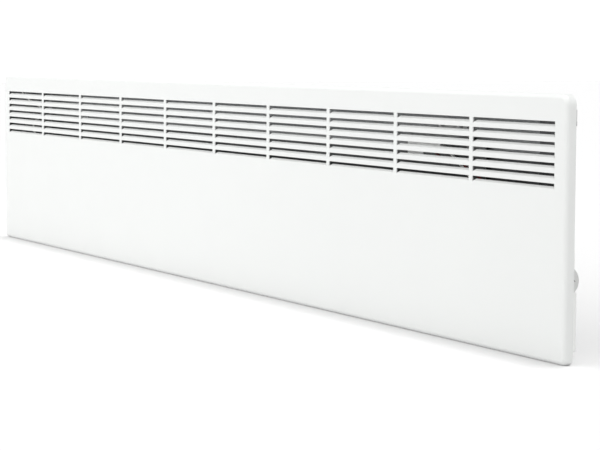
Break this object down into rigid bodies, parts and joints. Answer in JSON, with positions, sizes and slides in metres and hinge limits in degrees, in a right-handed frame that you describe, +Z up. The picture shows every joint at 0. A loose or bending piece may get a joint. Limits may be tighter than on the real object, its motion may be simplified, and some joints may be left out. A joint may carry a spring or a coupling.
{
  "type": "wall panel convector heater",
  "caption": "Low, long wall convector heater: folded steel front with bent-in air louvres, rear casing with finned element, side dial and rocker, hung on a hooked wall bracket.",
  "frame": {"origin": "centre of the four wall-fixing holes, on the wall plane", "axes": "+X along the heater to its right end seen from the room, +Y into the wall, +Z up; the front faces -Y"},
  "size_m": [1.389, 0.072, 0.235],
  "materials": {
    "baffle_black": "matt heat-resistant paint",
    "bracket_white": "powder coat",
    "brass_tab": "tinned",
    "casing_zinc": "zinc-coated sheet, dull",
    "copper": "drawn copper",
    "dark_plastic": "matt",
    "fin_alu": "extruded, oxidised",
    "galvanised": "zinc-plated sheet",
    "knob_plastic": "satin",
    "lead_brown": "insulation",
    "lead_green": "insulation with a second colour",
    "lead_red": "silicone insulation",
    "lead_white": "silicone insulation",
    "light_rubber": "matt",
    "lug_grey": "satin",
    "natural_nylon": "translucent natural",
    "panel_white": "semi-matt powder coat",
    "rivet_alu": "satin",
    "rocker_plastic": "semi-gloss",
    "rod_steel": "heat-darkened stainless",
    "shield_alu": "dull rolled",
    "silicone_red": "silicone",
    "steatite": "unglazed",
    "white_plastic": "fine satin",
    "zinc_screw": "bright zinc"
  },
  "bodies": {
    "wall_bracket": {"bracket_arm_left": "bracket_white", "bracket_arm_right": "bracket_white", "bracket_rail": "bracket_white", "bracket_rivets": "rivet_alu", "wall_spacers": "natural_nylon"},
    "heater": {"back_screws": "zinc_screw", "baffle_screws": "zinc_screw", "block_screws": "zinc_screw", "cable_gland": "dark_plastic", "capillary": "copper", "casing_rivets": "rivet_alu", "casing_screws": "zinc_screw", "control_housing": "white_plastic", "earth_lug": "brass_tab", "earth_screw": "zinc_screw", "element_bracket_left": "galvanised", "element_bracket_right": "galvanised", "element_grommets": "silicone_red", "end_baffle_left": "baffle_black", "end_baffle_right": "baffle_black", "end_cap_left": "casing_zinc", "end_cap_right": "casing_zinc", "end_insulators": "steatite", "front_panel": "panel_white", "gland_cap": "dark_plastic", "gland_nut": "dark_plastic", "hanger_left": "galvanised", "hanger_right": "galvanised", "heat_shield": "shield_alu", "heating_element": "fin_alu", "housing_screws": "zinc_screw", "lead_clips": "natural_nylon", "lead_earth": "lead_green", "lead_limiter": "lead_red", "lead_live": "lead_brown", "lead_return": "lead_white", "lead_switched": "lead_brown", "lead_thermostat": "lead_white", "limiter_bracket": "bracket_white", "lug_pads": "light_rubber", "overheat_limiter": "dark_plastic", "panel_lugs": "lug_grey", "rear_casing": "casing_zinc", "ring_lugs": "brass_tab", "sensor_bulb": "copper", "sensor_clips": "natural_nylon", "sheath_rod": "rod_steel", "shield_standoffs": "galvanised", "spade_tabs": "brass_tab", "switch_body": "dark_plastic", "terminal_block": "natural_nylon", "terminal_nuts": "zinc_screw", "terminal_pins": "zinc_screw", "terminal_screws": "zinc_screw", "thermostat_body": "dark_plastic", "thermostat_nut": "zinc_screw"},
    "thermostat_dial": {"thermostat_knob": "knob_plastic", "thermostat_spindle": "zinc_screw"},
    "rocker": {"switch_rocker": "rocker_plastic"}
  },
  "joints": [
    {"name": "heater_lift", "type": "slide", "parent": "wall_bracket", "child": "heater", "axis": [0, 0, 1], "range_m": [0, 0.014]},
    {"name": "thermostat_turn", "type": "hinge", "parent": "heater", "child": "thermostat_dial", "pos_m": [0.656, -0.0473, -0.0524], "axis": [-1, 0, 0], "range_deg": [0, 270]},
    {"name": "switch_rock", "type": "hinge", "parent": "heater", "child": "rocker", "pos_m": [0.649, -0.043, -0.0785], "axis": [0, 1, 0], "range_deg": [0, 20]}
  ]
}
